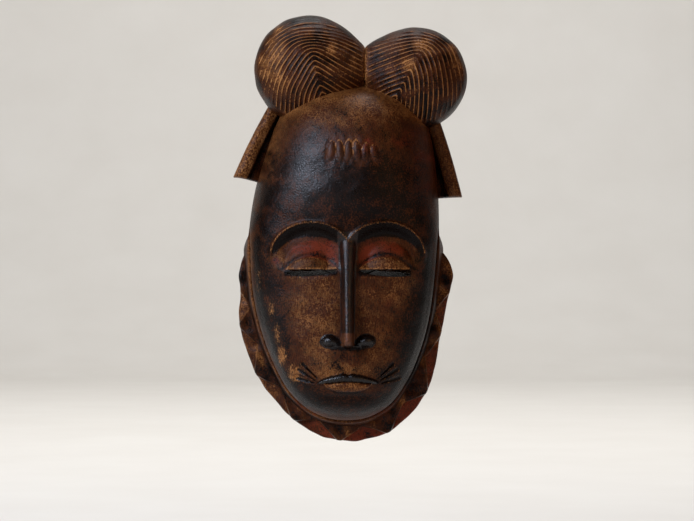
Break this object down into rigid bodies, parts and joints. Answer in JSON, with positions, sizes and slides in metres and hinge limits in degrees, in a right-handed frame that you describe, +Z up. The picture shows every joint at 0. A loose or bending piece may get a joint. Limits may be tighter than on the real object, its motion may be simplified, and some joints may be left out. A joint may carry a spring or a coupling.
{
  "type": "carved wooden face mask",
  "caption": "Wall-hung face mask carved from one block of wood, with twin grooved hair buns, a toothed collar, a hollow back and a ring hanger.",
  "frame": {"origin": "where the wall nail carries the hanger ring, on the plane of the mask's flat back", "axes": "+Z up, +X to the right of someone facing the mask, +Y into the wall"},
  "size_m": [0.1989, 0.097, 0.3631],
  "materials": {
    "carved_wood": "stained dark, waxed and worn, with ochre in the chip-cut collar",
    "hanger_brass": "dull, a little tarnished",
    "screw_brass": "dull, slotted heads"
  },
  "bodies": {
    "mask": {"mask_body": "carved_wood", "hanger_strap": "hanger_brass", "hanger_screw_near": "screw_brass", "hanger_screw_far": "screw_brass"},
    "ring": {"hanger_ring": "hanger_brass"}
  },
  "joints": [
    {"name": "ring_swing", "type": "hinge", "parent": "mask", "child": "ring", "pos_m": [0, -0.00667, -0.0126], "axis": [-1, 0, 0], "range_deg": [0, 179]}
  ]
}
